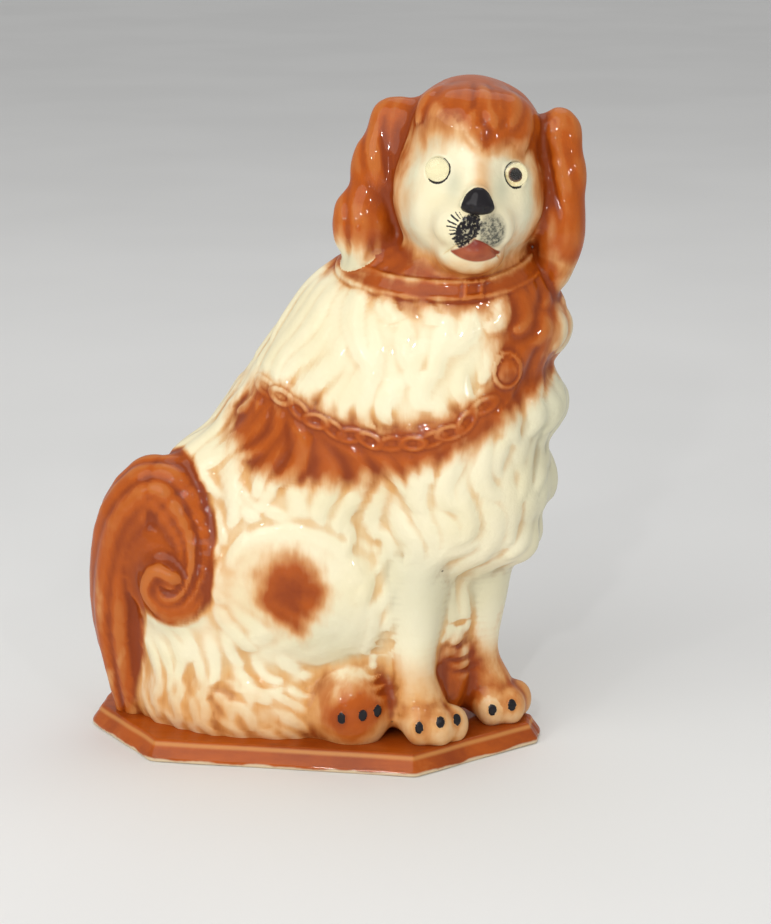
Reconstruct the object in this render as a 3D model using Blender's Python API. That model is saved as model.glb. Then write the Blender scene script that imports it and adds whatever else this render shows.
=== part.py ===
"""A seated spaniel figurine in hollow glazed earthenware, 330 mm high, facing +X with its head turned to -Y.

It is built as a potter builds it: two press-moulded halves of the hollow body that meet on a parting plane,
two forelegs moulded apart, a plinth that closes the bottom, and a glass eye in a bed of cement in each socket.
Metres, +Z up, with the origin in the middle of the plinth's underside.
"""

from math import atan2, cos, pi, radians, sin

import bmesh
import bpy
from mathutils import Euler, Matrix, Vector

MM = 0.001
JOINT_GAP = 0.3 * MM  # luting gap between pieces that touch
WALL = 5 * MM  # the thickness of the moulded shell
PARTING_Y = 4 * MM  # the plane where the two moulded halves meet

# Plinth: a rectangle with its corners canted, wider cants at the dog's front.
PLINTH_HALF_LENGTH = 113.4 * MM
PLINTH_HALF_WIDTH = 62 * MM
PLINTH_HEIGHT = 10 * MM
REAR_CANT = (42 * MM, 46 * MM)
FRONT_CANT = (53 * MM, 54 * MM)
PLINTH_CORNER_RADIUS = 7 * MM
CORNER_STEPS = 3
PLINTH_FLARE = 5.5 * MM  # how far the top edge stands in from the bottom one
VENT_RADIUS = 9 * MM
VENT_X = -34 * MM

# Head: its own frame, turned towards -Y and rolled a little to one side.
HEAD_CENTRE = Vector((0.077, -0.006, 0.2845))
HEAD_FRAME = Matrix.Translation(HEAD_CENTRE) @ Euler((0, radians(4), radians(11)), "XYZ").to_matrix().to_4x4()

# Eyes, in the head's frame.
EYE_SPACING = 36.6 * MM
EYE_HEIGHT = 4.4 * MM
EYE_SURFACE_Y = -37.6 * MM
EYE_TURN = radians(10)  # each eye looks this far outwards
SOCKET_RADIUS = 5.9 * MM
SOCKET_DEPTH = 4.2 * MM
EYE_RADIUS = 5.5 * MM
CEMENT_THICKNESS = 1.5 * MM
PAINT_THICKNESS = 0.4 * MM
GLASS_RIM = 0.8 * MM
GLASS_CROWN = 2.2 * MM

# Lumps of clay: centre and radii in millimetres, with an optional turn about Z in degrees.
HOLLOW_LUMPS = {
    "skirt": ((-25, -2, 22), (74, 51, 34)),
    "rump": ((-46, 2, 62), (58, 50, 66)),
    "belly": ((26, 0, 62), (46, 40, 75)),
    "chest": ((70, -8, 168), (54, 48, 66)),
    "breast": ((75, -8, 128), (43, 40, 40)),
    "ruff": ((82, -6, 208), (43, 42, 34)),
    "neck": ((68, -2, 224), (50, 42, 38)),
}
RELIEF_LUMPS = {
    "haunch_right": ((3, -42, 82), (43, 18, 40)),
    "haunch_left": ((-3, 40, 80), (46, 16, 42)),
    "hind_paw_right": ((28, -40, 22), (20, 15, 13)),
    "hind_paw_left": ((26, 38, 22), (20, 15, 13)),
}
HEAD_HOLLOW_LUMPS = {
    "skull": ((0, 2, 0), (38, 41, 45)),
    "cheeks": ((0, -12, -10), (36, 34, 34)),
}
HEAD_RELIEF_LUMPS = {
    "brow": ((0, -16, 20), (30, 28, 24)),
    "muzzle": ((0, -38, -18), (20, 19, 17)),
    "chin": ((0, -34, -31), (15, 14, 10)),
    "nose": ((0, -55, -7), (8.5, 6, 6.5)),
}

# Limbs of clay: stations of centre and radius in millimetres, joined by tapering skins.
HOLLOW_LIMBS = {
    "torso": (((-20, 2, 95), 56), ((48, -2, 183), 58)),
}
RELIEF_LIMBS = {
    "tail": (
        ((-93, -5, 14), 14),
        ((-97, -12, 58), 18),
        ((-86, -18, 102), 20),
        ((-72, -28, 115), 20),
        ((-54, -40, 99), 15),
        ((-58, -44, 84), 12),
    ),
    "ear_right": (((41, -8, 307), 12), ((32, -13, 280), 13), ((29, -16, 256), 16), ((30, -18, 243), 9)),
    "ear_left": (((116, -8, 304), 10), ((121, -8, 280), 11), ((118, -9, 256), 13), ((119, -9, 240), 9)),
}
FORELEGS = {
    "foreleg_right": {
        "leg": (((54, -28, 100), 12), ((54, -32, 45), 10), ((56, -32, 24), 13)),
        "paw": ((61, -34, 20), (17, 15, 11), -40),
    },
    "foreleg_left": {
        "leg": (((84, -2, 100), 14), ((81, 2, 45), 10.5), ((84, 2, 24), 13)),
        "paw": ((91, 0, 20), (18, 15, 11), -40),
    },
}
LIMB_FLATNESS = 0.86  # a limb's depth along Y over its width
LIMB_ROUNDNESS = 2  # icosphere subdivisions at a limb's stations

# Voxel size, and the share of the united skin's faces that is kept.
BODY_VOXEL, BODY_KEEP = 3 * MM, 0.08
CAVITY_VOXEL, CAVITY_KEEP = 3 * MM, 0.04
LEG_VOXEL, LEG_KEEP = 2 * MM, 0.11


def glaze(name, colour, roughness=0.12, transmission=0.0):
    """A Principled material in one plain colour."""
    material = bpy.data.materials.new(name)
    material.use_nodes = True
    shader = material.node_tree.nodes["Principled BSDF"]
    shader.inputs["Base Color"].default_value = (*colour, 1.0)
    shader.inputs["Roughness"].default_value = roughness
    shader.inputs["Metallic"].default_value = 0.0
    shader.inputs["Transmission Weight"].default_value = transmission
    material.diffuse_color = (*colour, 1.0)
    return material


def new_object(name, bm, material=None, helper=False, smooth=True):
    """An object from a bmesh. A helper shapes others and is left out of the model."""
    mesh = bpy.data.meshes.new(name)
    bm.to_mesh(mesh)
    bm.free()
    if smooth:
        mesh.shade_smooth()
        mesh.set_sharp_from_angle(angle=radians(35))
    obj = bpy.data.objects.new(name, mesh)
    bpy.context.scene.collection.objects.link(obj)
    if material:
        mesh.materials.append(material)
    if helper:
        obj.hide_render = True
        obj.display_type = "WIRE"
    return obj


def add_lump(bm, centre, radii, turn=0.0, frame=Matrix(), inset=0.0):
    """One ellipsoid of clay. inset shrinks it on every side, in metres."""
    size = [max(r * MM - inset, MM) for r in radii]
    place = Matrix.Translation(Vector(centre) * MM) @ Matrix.Rotation(radians(turn), 4, "Z")
    matrix = frame @ place @ Matrix.Diagonal((*size, 1.0))
    bmesh.ops.create_icosphere(bm, subdivisions=3, radius=1.0, matrix=matrix)


def add_limb(bm, stations, flatness=LIMB_FLATNESS, inset=0.0):
    """A limb: the tapering skin round each pair of neighbouring stations."""
    ball = bmesh.new()
    bmesh.ops.create_icosphere(ball, subdivisions=LIMB_ROUNDNESS, radius=1.0)
    directions = [v.co.copy() for v in ball.verts]
    ball.free()
    for pair in zip(stations, stations[1:]):
        skin = bmesh.new()
        for centre, radius in pair:
            size = Vector((1, flatness, 1)) * (radius * MM - inset)
            for direction in directions:
                skin.verts.new(Vector(centre) * MM + size * direction)
        hull = bmesh.ops.convex_hull(skin, input=skin.verts)
        inside = {v for v in hull["geom_interior"] + hull["geom_unused"] if isinstance(v, bmesh.types.BMVert)}
        bmesh.ops.delete(skin, geom=list(inside), context="VERTS")
        mesh = bpy.data.meshes.new("limb_skin")
        skin.to_mesh(mesh)
        skin.free()
        bm.from_mesh(mesh)
        bpy.data.meshes.remove(mesh)


def knead(obj, voxel, smoothing, keep):
    """Unites overlapping lumps into one skin, rubs it smooth and keeps that share of its faces."""
    remesh = obj.modifiers.new("unite", "REMESH")
    remesh.mode = "VOXEL"
    remesh.voxel_size = voxel
    rub = obj.modifiers.new("rub_smooth", "SMOOTH")
    rub.factor = 0.5
    rub.iterations = smoothing
    thin = obj.modifiers.new("fewer_faces", "DECIMATE")
    thin.ratio = keep
    return obj


def boolean(obj, operation, other):
    modifier = obj.modifiers.new(f"{operation.lower()}_{other.name}", "BOOLEAN")
    modifier.operation = operation
    modifier.object = other
    modifier.solver = "EXACT"


def dog_clay():
    """The whole outer form of the body and head, without the forelegs."""
    bm = bmesh.new()
    for centre, radii in (*HOLLOW_LUMPS.values(), *RELIEF_LUMPS.values()):
        add_lump(bm, centre, radii)
    for centre, radii in (*HEAD_HOLLOW_LUMPS.values(), *HEAD_RELIEF_LUMPS.values()):
        add_lump(bm, centre, radii, frame=HEAD_FRAME)
    for stations in (*HOLLOW_LIMBS.values(), *RELIEF_LIMBS.values()):
        add_limb(bm, stations)
    return knead(new_object("dog_clay", bm, helper=True), BODY_VOXEL, 6, BODY_KEEP)


def dog_cavity():
    """The hollow inside: the large lumps, drawn in by the wall's thickness."""
    bm = bmesh.new()
    for centre, radii in HOLLOW_LUMPS.values():
        add_lump(bm, centre, radii, inset=WALL)
    for centre, radii in HEAD_HOLLOW_LUMPS.values():
        add_lump(bm, centre, radii, frame=HEAD_FRAME, inset=WALL)
    for stations in HOLLOW_LIMBS.values():
        add_limb(bm, stations, inset=WALL)
    return knead(new_object("dog_cavity", bm, helper=True), CAVITY_VOXEL, 6, CAVITY_KEEP)


def box_between(low, high):
    bm = bmesh.new()
    size = Vector(high) - Vector(low)
    matrix = Matrix.Translation((Vector(low) + Vector(high)) / 2) @ Matrix.Diagonal((*size, 1.0))
    bmesh.ops.create_cube(bm, size=1.0, matrix=matrix)
    return bm


def body_half(name, side, clay, cavity, material):
    """One moulded half: side is -1 for the right half, with the face, and +1 for the left half."""
    reach, floor, top = 0.2, PLINTH_HEIGHT + JOINT_GAP, 0.4
    edge = PARTING_Y + side * JOINT_GAP / 2
    y_low, y_high = sorted((edge, side * reach))
    half = new_object(name, box_between((-reach, y_low, floor), (reach, y_high, top)), material)
    boolean(half, "INTERSECT", clay)
    boolean(half, "DIFFERENCE", cavity)
    return half


def foreleg(name, plan, swollen_body, material):
    """A foreleg with its paw, standing on the plinth and cut to fit against the body."""
    bm = bmesh.new()
    add_limb(bm, plan["leg"], flatness=1.0)
    centre, radii, turn = plan["paw"]
    add_lump(bm, centre, radii, turn)
    clay = knead(new_object(name + "_clay", bm, helper=True), LEG_VOXEL, 4, LEG_KEEP)
    xs, ys, reach = centre[0] * MM, centre[1] * MM, 0.04
    low, high = (xs - reach, ys - reach, PLINTH_HEIGHT + JOINT_GAP), (xs + reach, ys + reach, 0.2)
    leg = new_object(name, box_between(low, high), material)
    boolean(leg, "INTERSECT", clay)
    boolean(leg, "DIFFERENCE", swollen_body)
    return leg


def canted_outline(inset):
    """The plinth's outline, drawn in by inset, with each corner rounded by an arc."""
    length, width = PLINTH_HALF_LENGTH, PLINTH_HALF_WIDTH
    (rx, ry), (fx, fy) = REAR_CANT, FRONT_CANT
    half = [(length, -(width - fy)), (length, width - fy), (length - fx, width), (-(length - rx), width)]
    half += [(-length, width - ry), (-length, -(width - ry)), (-(length - rx), -width), (length - fx, -width)]
    corners = [Vector(p) for p in half]
    count = len(corners)
    normals = []
    for i, corner in enumerate(corners):
        along = (corners[(i + 1) % count] - corner).normalized()
        normals.append(Vector((along.y, -along.x)))
    outline = []
    for i, corner in enumerate(corners):
        before, after = normals[i - 1], normals[i]
        middle = (before + after).normalized()
        spread = middle.dot(after)
        centre = corner - middle * PLINTH_CORNER_RADIUS / spread
        start = atan2(before.y, before.x)
        turn = (atan2(after.y, after.x) - start) % (2 * pi)
        for k in range(CORNER_STEPS + 1):
            angle = start + turn * k / CORNER_STEPS
            outline.append(centre + (PLINTH_CORNER_RADIUS - inset) * Vector((cos(angle), sin(angle))))
    return outline


def plinth(material):
    """The base slab: a lip at the bottom, flared sides and a vent hole right through."""
    bm = bmesh.new()
    levels = ((0.8, 0.0), (0.0, 1.0), (0.4, 3.0), (4.6, 9.0), (PLINTH_FLARE / MM, PLINTH_HEIGHT / MM))
    rings = []
    for inset, height in levels:
        outline = canted_outline(inset * MM)
        rings.append([bm.verts.new((p.x, p.y, height * MM)) for p in outline])
    for lower, upper in zip(rings, rings[1:]):
        for i in range(len(lower)):
            j = (i + 1) % len(lower)
            bm.faces.new((lower[i], lower[j], upper[j], upper[i]))
    bm.faces.new(list(reversed(rings[0])))
    bm.faces.new(rings[-1])
    bmesh.ops.recalc_face_normals(bm, faces=bm.faces)
    slab = new_object("plinth", bm, material)
    cutter = bmesh.new()
    bmesh.ops.create_cone(
        cutter, segments=24, radius1=VENT_RADIUS, radius2=VENT_RADIUS, depth=0.04, cap_ends=True,
        matrix=Matrix.Translation((VENT_X, 0, 0)),
    )
    boolean(slab, "DIFFERENCE", new_object("vent_cutter", cutter, helper=True))
    return slab


def eye_frame(side):
    """The frame of one eye: its local +Z looks out of the face. side is -1 for the right eye."""
    place = Matrix.Translation((side * EYE_SPACING / 2, EYE_SURFACE_Y, EYE_HEIGHT))
    outwards = Matrix.Rotation(side * EYE_TURN, 4, "Z") @ Matrix.Rotation(pi / 2, 4, "X")
    return HEAD_FRAME @ place @ outwards


def turned(name, profile, frame, material=None, helper=False, segments=24):
    """A solid of revolution about the local Z of frame, from points (radius, height) up its outer side."""
    bm = bmesh.new()
    low = bm.verts.new((0, 0, profile[0][1]))
    high = bm.verts.new((0, 0, profile[-1][1]))
    rings = []
    for radius, height in profile:
        if radius > 0:
            turns = [2 * pi * k / segments for k in range(segments)]
            rings.append([bm.verts.new((radius * cos(t), radius * sin(t), height)) for t in turns])
    for i in range(segments):
        j = (i + 1) % segments
        bm.faces.new((low, rings[0][j], rings[0][i]))
        bm.faces.new((high, rings[-1][i], rings[-1][j]))
        for lower, upper in zip(rings, rings[1:]):
            bm.faces.new((lower[i], lower[j], upper[j], upper[i]))
    obj = new_object(name, bm, material, helper)
    obj.matrix_world = frame
    return obj


def eye(side_name, side, face, materials, painted):
    """The socket in the face, and in it the cement, the paint where it is left, and the glass."""
    frame = eye_frame(side)
    mouth = 6 * MM
    socket = [(SOCKET_RADIUS, -SOCKET_DEPTH), (SOCKET_RADIUS, mouth)]
    boolean(face, "DIFFERENCE", turned("socket_" + side_name, socket, frame, helper=True))
    base = -SOCKET_DEPTH + JOINT_GAP
    cement_top = base + CEMENT_THICKNESS
    turned("eye_cement_" + side_name, [(EYE_RADIUS, base), (EYE_RADIUS, cement_top)], frame, materials["cement"])
    seat = cement_top + JOINT_GAP
    paint = [(EYE_RADIUS - 0.3 * MM, seat), (EYE_RADIUS - 0.3 * MM, seat + PAINT_THICKNESS)]
    if painted:
        turned("eye_paint_" + side_name, paint, frame, materials["paint"])
    rim = seat + PAINT_THICKNESS + JOINT_GAP
    dome = [(EYE_RADIUS, rim), (EYE_RADIUS, rim + GLASS_RIM)]
    steps = 5
    for k in range(1, steps + 1):
        angle = pi / 2 * k / steps
        dome.append((EYE_RADIUS * cos(angle) * (k < steps), rim + GLASS_RIM + GLASS_CROWN * sin(angle)))
    turned("eye_glass_" + side_name, dome, frame, materials["glass"])


def build():
    for obj in list(bpy.data.objects):
        bpy.data.objects.remove(obj, do_unlink=True)
    cream = glaze("cream_glaze", (0.86, 0.78, 0.58))
    rust = glaze("rust_glaze", (0.55, 0.17, 0.03))
    eye_materials = {
        "cement": glaze("eye_cement", (0.78, 0.72, 0.58), roughness=0.8),
        "paint": glaze("eye_paint", (0.03, 0.02, 0.02), roughness=0.3),
        "glass": glaze("eye_glass", (0.95, 0.95, 0.92), roughness=0.03, transmission=0.9),
    }
    clay, cavity = dog_clay(), dog_cavity()
    right_half = body_half("body_right_half", -1, clay, cavity, cream)
    body_half("body_left_half", 1, clay, cavity, cream)
    swollen = dog_clay()
    swollen.name = "dog_clay_swollen"
    swell = swollen.modifiers.new("luting_gap", "DISPLACE")
    swell.strength = JOINT_GAP
    swell.mid_level = 0.0
    for name, plan in FORELEGS.items():
        foreleg(name, plan, swollen, cream)
    plinth(rust)
    eye("right", -1, right_half, eye_materials, painted=False)
    eye("left", 1, right_half, eye_materials, painted=True)


build()
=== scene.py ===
"""The looks of a hollow earthenware spaniel: its moulded coat, its painted glaze and its glass eyes.

The clay is a sum of simple forms, skinned with quads. The coat is pressed into that skin by locks that are
traced along a combing direction. Paint, painted shade and highlight are kept in named attributes of the
skin, which the glaze reads.
Working units are millimetres in the row's frame; meshes are made in metres.
"""

from math import atan2, cos, pi, radians, sin

import bmesh
import bpy
import numpy as np
from mathutils import Euler, Matrix, Vector


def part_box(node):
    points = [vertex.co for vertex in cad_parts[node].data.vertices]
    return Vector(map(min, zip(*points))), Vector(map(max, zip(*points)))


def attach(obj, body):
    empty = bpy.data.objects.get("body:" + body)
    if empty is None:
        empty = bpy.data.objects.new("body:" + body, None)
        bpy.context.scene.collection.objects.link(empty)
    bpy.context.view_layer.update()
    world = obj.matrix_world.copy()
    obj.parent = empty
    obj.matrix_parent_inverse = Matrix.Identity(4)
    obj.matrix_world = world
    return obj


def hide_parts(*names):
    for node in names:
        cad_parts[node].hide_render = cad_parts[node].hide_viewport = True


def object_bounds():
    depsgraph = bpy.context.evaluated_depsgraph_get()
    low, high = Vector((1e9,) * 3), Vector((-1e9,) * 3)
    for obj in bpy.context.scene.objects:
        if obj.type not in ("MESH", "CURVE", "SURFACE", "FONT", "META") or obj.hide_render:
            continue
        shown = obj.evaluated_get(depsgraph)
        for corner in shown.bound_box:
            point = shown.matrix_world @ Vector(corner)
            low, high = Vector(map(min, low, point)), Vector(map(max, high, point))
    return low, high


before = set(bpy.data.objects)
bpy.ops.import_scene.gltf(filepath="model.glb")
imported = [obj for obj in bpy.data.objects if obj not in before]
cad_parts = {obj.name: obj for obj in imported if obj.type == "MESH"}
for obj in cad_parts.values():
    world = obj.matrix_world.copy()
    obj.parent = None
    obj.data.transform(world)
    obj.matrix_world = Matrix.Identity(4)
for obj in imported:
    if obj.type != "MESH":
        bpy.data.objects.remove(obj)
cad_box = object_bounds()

MM = 0.001
CELL = 1.55  # the mesh size of the skin
COARSE = 4  # fine cells in a coarse one
FAR = 40.0  # the field's value away from every form
MARGIN = 14.0  # how far outside its box a form is felt
PARTING_Y = 4.0


def corners(node):
    """A node's lowest and highest corners in millimetres."""
    low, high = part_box(node)
    return np.array(low) / MM, np.array(high) / MM


def middle(node):
    low, high = corners(node)
    return (low + high) / 2


PLINTH_HIGH = corners("plinth")[1]
PLINTH_TOP = PLINTH_HIGH[2]
EYE_RIGHT = middle("eye_glass_right")
EYE_LEFT = middle("eye_glass_left")

# The head's frame: +X along the eyes, -Y out of the face, +Z up, with its origin inside the skull.
EYES_ABOVE_CENTRE = 4.4
EYES_BEFORE_CENTRE = 37.6
across = EYE_LEFT - EYE_RIGHT
head_x = across / np.linalg.norm(across)
head_y = np.cross((0, 0, 1), head_x)
head_y = head_y / np.linalg.norm(head_y)
HEAD_AXES = np.array((head_x, head_y, np.cross(head_x, head_y)))  # rows
BETWEEN_EYES = (EYE_LEFT + EYE_RIGHT) / 2
HEAD_CENTRE = BETWEEN_EYES + EYES_BEFORE_CENTRE * HEAD_AXES[1] - EYES_ABOVE_CENTRE * HEAD_AXES[2]


# ---------------------------------------------------------------- clay forms


def smooth_min(a, b, k):
    """The smaller of a and b, rounded off where they are within k of each other."""
    h = np.maximum(k - np.abs(a - b), 0) / k
    return np.minimum(a, b) - h * h * k / 4


def step(low, high, value):
    """0 below low, 1 above high, smooth between. Works with low above high too."""
    t = np.clip((value - low) / (high - low), 0, 1)
    return t * t * (3 - 2 * t)


def bell(value, width):
    """1 where value is 0, fading smoothly over width on both sides."""
    return np.exp(-((value / width) ** 2))


class Form:
    """One form of clay: a distance function, the box it fills and how softly it joins the others."""

    def __init__(self, distance, low, high, blend, carve=False):
        self.distance, self.low, self.high, self.blend, self.carve = distance, low, high, blend, carve


def lump(centre, radii, blend, turn=(0, 0, 0), on_head=False):
    """An ellipsoid. turn is its Euler angles in degrees."""
    axes = np.array(Euler([radians(a) for a in turn]).to_matrix().transposed())
    centre, radii = np.array(centre, float), np.array(radii, float)
    if on_head:
        centre = HEAD_CENTRE + centre @ HEAD_AXES
        axes = axes @ HEAD_AXES

    def distance(p):
        q = (p - centre) @ axes.T / radii
        k0 = np.linalg.norm(q, axis=1)
        k1 = np.linalg.norm(q / radii, axis=1)
        return k0 * (k0 - 1) / np.maximum(k1, 1e-5)

    reach = np.abs(axes.T) @ radii
    return Form(distance, centre - reach, centre + reach, blend)


def smooth_path(points, count):
    """A Catmull-Rom curve through rows of numbers, read at count points."""
    points = np.array(points, float)
    ends = np.vstack((2 * points[0] - points[1], points, 2 * points[-1] - points[-2]))
    t = np.linspace(0, len(points) - 1, count)
    i = np.minimum(t.astype(int), len(points) - 2)
    f = (t - i)[:, None]
    a, b, c, d = ends[i], ends[i + 1], ends[i + 2], ends[i + 3]
    return b + f * ((c - a) + f * ((2 * a - 5 * b + 4 * c - d) + f * (3 * b - a - 3 * c + d))) / 2


def limb(stations, blend, flatness=1.0, count=None):
    """A tapering limb through stations of x, y, z, radius. flatness is its depth in Y over its width."""
    stations = smooth_path(stations, count) if count else np.array(stations, float)
    squeeze = np.array((1, 1 / flatness, 1))

    def distance(p):
        nearest = None
        for start, end in zip(stations, stations[1:]):
            along = (end[:3] - start[:3]) * squeeze
            off = (p - start[:3]) * squeeze
            t = np.clip(off @ along / (along @ along), 0, 1)
            d = np.linalg.norm(off - t[:, None] * along, axis=1) - start[3] - t * (end[3] - start[3])
            nearest = d if nearest is None else np.minimum(nearest, d)
        return nearest * flatness

    reach = stations[:, 3:]
    return Form(distance, (stations[:, :3] - reach).min(0), (stations[:, :3] + reach).max(0), blend)


def field_of(forms):
    """The distance to the clay at rows of points, exact near its surface."""

    def field(points):
        value = np.full(len(points), FAR)
        for form in forms:
            near = np.all((points > form.low - MARGIN) & (points < form.high + MARGIN), axis=1)
            if not near.any():
                continue
            d = form.distance(points[near])
            if form.carve:
                value[near] = -smooth_min(-value[near], d, form.blend)
            else:
                value[near] = smooth_min(value[near], d, form.blend)
        return value

    return field


TAIL_PATH = (
    (-85, -12, 3, 14), (-88, -14, 32, 18), (-91, -17, 60, 20), (-90, -20, 88, 20),
    (-84, -24, 113, 19.5), (-69, -28, 128, 18.5), (-55, -34, 113, 13.5), (-51, -39, 100, 10.5),
    (-52, -43, 88, 9), (-57, -45, 79, 8.5), (-65, -46, 77, 8), (-71, -46, 84, 7.5), (-68, -47, 92, 7),
    (-61, -48, 90, 6.5),
)

BODY = [
    lump((-25, -2, 22), (72, 50, 34), 10),
    lump((-44, 2, 62), (54, 50, 66), 10),
    lump((26, 0, 62), (44, 38, 75), 10),
    lump((66, -8, 168), (50, 48, 66), 12),
    lump((70, -8, 128), (41, 40, 40), 12),
    lump((78, -6, 208), (41, 42, 34), 10),
    lump((68, -2, 224), (50, 42, 38), 12),
    limb(((-24, 2, 98, 57), (43, -2, 188, 60)), 14, 0.84),
    lump((109, -8, 212), (17, 22, 15), 7),
    lump((107, -8, 175), (18, 25, 17), 7),
    lump((103, -8, 136), (17, 26, 18), 7),
    lump((99, -8, 108), (14, 20, 13), 8),
    lump((66, -9, 58), (13, 15, 50), 8),
    lump((-58, -38, 70), (17, 12, 9), 7, (0, -14, 0)),
]
TAIL_FILL = [
    lump((-66, -26, 98), (24, 20, 36), 8),
    lump((-50, -14, 134), (22, 20, 17), 12),
]
HAUNCHES = [
    lump((-3, -34, 83), (42, 18, 40), 14, (0, 8, 0)),
    lump((-3, 34, 80), (46, 17, 42), 14),
]
HIND_PAWS = [
    lump((26, -39, 24), (18, 14, 21), 9, (0, 0, 12)),
    lump((26, 38, 22), (20, 15, 15), 6),
]
TAIL = [limb(TAIL_PATH, 5, 0.9, 34)]
HEAD = [lump(*form, on_head=True) for form in (
    ((0, 4, 2), (37, 39, 43), 8),
    ((0, -11, -10), (36, 33, 33), 8),
    ((0, -16, 22), (28, 24, 20), 8),
    ((0, -33, -4), (7, 14, 16), 12, (20, 0, 0)),
    ((-7, -42, -19), (11.5, 12, 11), 6, (0, -20, 0)),
    ((7, -42, -19), (11.5, 12, 11), 6, (0, 20, 0)),
    ((0, -40, -30), (10, 8, 6), 5),
    ((0, -34, -34), (15, 13, 9), 7),
    ((0, -52, -8.2), (8.2, 6.5, 4.6), 3),
    ((0, -50.5, -4), (5.2, 6, 4.6), 3),
    ((-9, -20, 31), (15, 10, 7), 9),
    ((11, -19, 30), (14, 10, 7), 9),
)]
EARS = [
    lump((43, -10, 305), (15, 10, 14), 5),
    lump((34, -14, 285), (13, 10, 22), 5, (0, 10, 0)),
    lump((27, -17, 259), (15, 12, 18), 6, (0, -8, 0)),
    lump((30, -18, 243), (10, 9, 14), 5, (0, 10, 0)),
    lump((118, -8, 303), (11, 9, 12), 5),
    lump((122, -9, 282), (10, 10, 22), 5, (0, -4, 0)),
    lump((120, -10, 258), (12, 11, 18), 6),
    lump((119, -10, 243), (8, 9, 14), 5, (0, 8, 0)),
]
SHIN_RADIUS, TOE_RADII = 13.5, (7.5, 7.5, 9.5)


def foreleg(top, knee, foot, toes):
    """A leg that narrows to its knee and widens again to its toes."""
    shin = (*[(a + b) / 2 for a, b in zip(top[:3], knee)], SHIN_RADIUS)
    return [limb((top, shin, knee, foot), 9, count=28)] + [lump(toe, TOE_RADII, 4.5) for toe in toes]


RIGHT_TOES = ((59, -41, 18), (68, -40, 18), (74, -32, 17))
LEFT_TOES = ((90, -9, 18), (99, -5, 18), (101, 6, 18))
LEG_RIGHT = foreleg((55, -24, 112, 19), (55, -32, 45, 9.5), (58, -32, 23, 13.5), RIGHT_TOES)
LEG_LEFT = foreleg((84, 0, 110, 18), (82, 1, 45, 10), (87, 1, 23, 13.5), LEFT_TOES)

LEG_AXES = ((55, -29), (83, 1))
LEGS_APART_Y = -14.0

SOCKET_RADIUS, SOCKET_DEPTH = 5.95, 1.6


def socket(eye):
    """A round hollow for a glass eye."""
    centre = eye + SOCKET_DEPTH * HEAD_AXES[1]

    def distance(p):
        return np.linalg.norm(p - centre, axis=1) - SOCKET_RADIUS

    return Form(distance, centre - 6, centre + 6, 0.8, carve=True)


SOCKETS = [socket(EYE_RIGHT), socket(EYE_LEFT)]

CLAY = BODY + HAUNCHES + HIND_PAWS + TAIL_FILL + TAIL + HEAD + EARS + LEG_RIGHT + LEG_LEFT + SOCKETS
clay = field_of(CLAY)


# ---------------------------------------------------------------- skinning


def slope(field, points, reach=0.4):
    """The field's unit gradient, from central differences."""
    out = np.empty_like(points)
    for axis in range(3):
        nudge = np.zeros(3)
        nudge[axis] = reach
        out[:, axis] = field(points + nudge) - field(points - nudge)
    return out / np.maximum(np.linalg.norm(out, axis=1), 1e-9)[:, None]


def settle(field, points, rounds=2):
    """Moves points onto the surface where the field is 0."""
    for _ in range(rounds):
        points = points - field(points)[:, None] * slope(field, points)
    return points


def sampled(field, low, cells, cell):
    """The field at the nodes of a grid: exact near the surface, and with the right sign elsewhere."""
    rough_cell = cell * COARSE
    axes = [low[i] + rough_cell * np.arange(cells[i] // COARSE + 1) for i in range(3)]
    rough = field(np.stack(np.meshgrid(*axes, indexing="ij"), -1).reshape(-1, 3))
    rough = rough.reshape([len(a) for a in axes])
    nearest = [np.rint(np.arange(n + 1) / COARSE).astype(int) for n in cells]
    fine = rough[np.ix_(*nearest)]
    near = np.abs(fine) < rough_cell * 1.6
    fine[near] = field(low + cell * np.argwhere(near))
    return fine


OFFSETS = [np.array((i, j, k)) for i in (0, 1) for j in (0, 1) for k in (0, 1)]
UNITS = np.eye(3, dtype=int)


def crossed_cells(inside, cells):
    """The cells that have corners on both sides of the surface."""
    corner_sets = (inside[tuple(slice(o[i], o[i] + cells[i]) for i in range(3))] for o in OFFSETS)
    count = sum(corner.astype(np.uint8) for corner in corner_sets)
    return np.argwhere((count > 0) & (count < 8))


def crossing_middles(value, crossed):
    """The mean of the points where the surface crosses each cell's edges, in parts of the cell."""
    total, hits = np.zeros((len(crossed), 3)), np.zeros(len(crossed))
    for axis in range(3):
        for o in [o for o in OFFSETS if o[axis] == 0]:
            a, b = value[tuple((crossed + o).T)], value[tuple((crossed + o + UNITS[axis]).T)]
            cut = (a < 0) != (b < 0)
            t = np.where(cut, a / np.where(cut, a - b, 1), 0)
            total += cut[:, None] * (o + t[:, None] * UNITS[axis])
            hits += cut
    return total / hits[:, None]


def surface_quads(inside, cells, number):
    """A quad round each of the grid's edges that the surface crosses, facing out."""
    quads = []
    for axis in range(3):
        u, v = UNITS[(axis + 1) % 3], UNITS[(axis + 2) % 3]
        below = inside[tuple(slice(0, n) if i == axis else slice(1, n) for i, n in enumerate(cells))]
        above = inside[tuple(slice(1, n + 1) if i == axis else slice(1, n) for i, n in enumerate(cells))]
        edges = np.argwhere(below != above) + u + v
        quad = np.stack([number[tuple((edges + o).T)] for o in (-u - v, -v, 0 * u, -u)], 1)
        outward = inside[tuple(edges.T)]
        quads.append(np.where(outward[:, None], quad, quad[:, ::-1]))
    return np.vstack(quads)


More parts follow.
